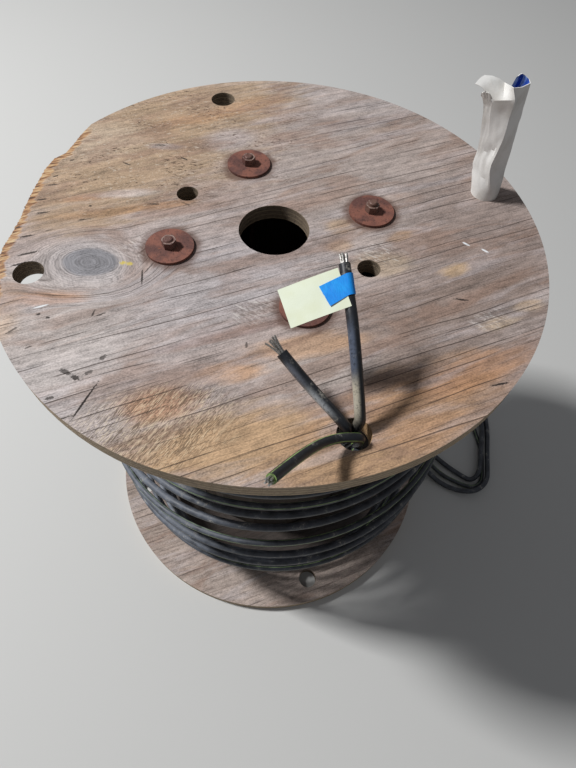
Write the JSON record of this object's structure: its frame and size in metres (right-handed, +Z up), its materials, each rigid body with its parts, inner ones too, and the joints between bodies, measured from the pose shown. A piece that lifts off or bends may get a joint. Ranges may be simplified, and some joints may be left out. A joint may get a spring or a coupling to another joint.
{
  "type": "wooden cable drum",
  "caption": "Weathered plywood cable drum on end, with bolted flanges, a stave barrel and a loose winding of black power cable.",
  "frame": {"origin": "centre of the drum's footprint on the floor, on the drum's axis", "axes": "+Z up along the drum's axis, -Y towards the picture's viewer, +X to the viewer's right"},
  "size_m": [0.8033, 0.6351, 0.78],
  "materials": {
    "plywood_top": "weathered, matte",
    "plywood_bottom": "weathered, matte",
    "stave_board": "sawn, matte",
    "rusty_steel": "rusted, rough",
    "cable_jacket": "dusty, semi-matte",
    "cable_jacket_striped": "dusty, with yellow-green stripes",
    "bare_strands": "dull, stranded",
    "white_card": "torn, matte",
    "tag_paper": "creased, matte",
    "blue_tape": "crepe, matte"
  },
  "bodies": {
    "root": {"bolt_1": "rusty_steel", "bolt_2": "rusty_steel", "bolt_3": "rusty_steel", "bolt_4": "rusty_steel", "cable_end_middle": "cable_jacket", "cable_end_striped": "cable_jacket_striped", "cable_end_tagged": "cable_jacket", "cable_tail_middle": "cable_jacket", "cable_tail_striped": "cable_jacket_striped", "cable_tail_tagged": "cable_jacket", "cable_winding": "cable_jacket", "card_sleeve": "white_card", "flange_bottom": "plywood_bottom", "flange_top": "plywood_top", "masking_tape": "blue_tape", "nut_1": "rusty_steel", "nut_2": "rusty_steel", "nut_3": "rusty_steel", "nut_4": "rusty_steel", "stave_01": "stave_board", "stave_02": "stave_board", "stave_03": "stave_board", "stave_04": "stave_board", "stave_05": "stave_board", "stave_06": "stave_board", "stave_07": "stave_board", "stave_08": "stave_board", "stave_09": "stave_board", "stave_10": "stave_board", "stave_11": "stave_board", "stave_12": "stave_board", "stave_13": "stave_board", "stave_14": "stave_board", "stave_15": "stave_board", "stave_16": "stave_board", "strands_middle": "bare_strands", "strands_striped": "bare_strands", "strands_tagged": "bare_strands", "tag": "tag_paper", "washer_base_1": "rusty_steel", "washer_base_2": "rusty_steel", "washer_base_3": "rusty_steel", "washer_base_4": "rusty_steel", "washer_top_1": "rusty_steel", "washer_top_2": "rusty_steel", "washer_top_3": "rusty_steel", "washer_top_4": "rusty_steel"}
  },
  "joints": []
}
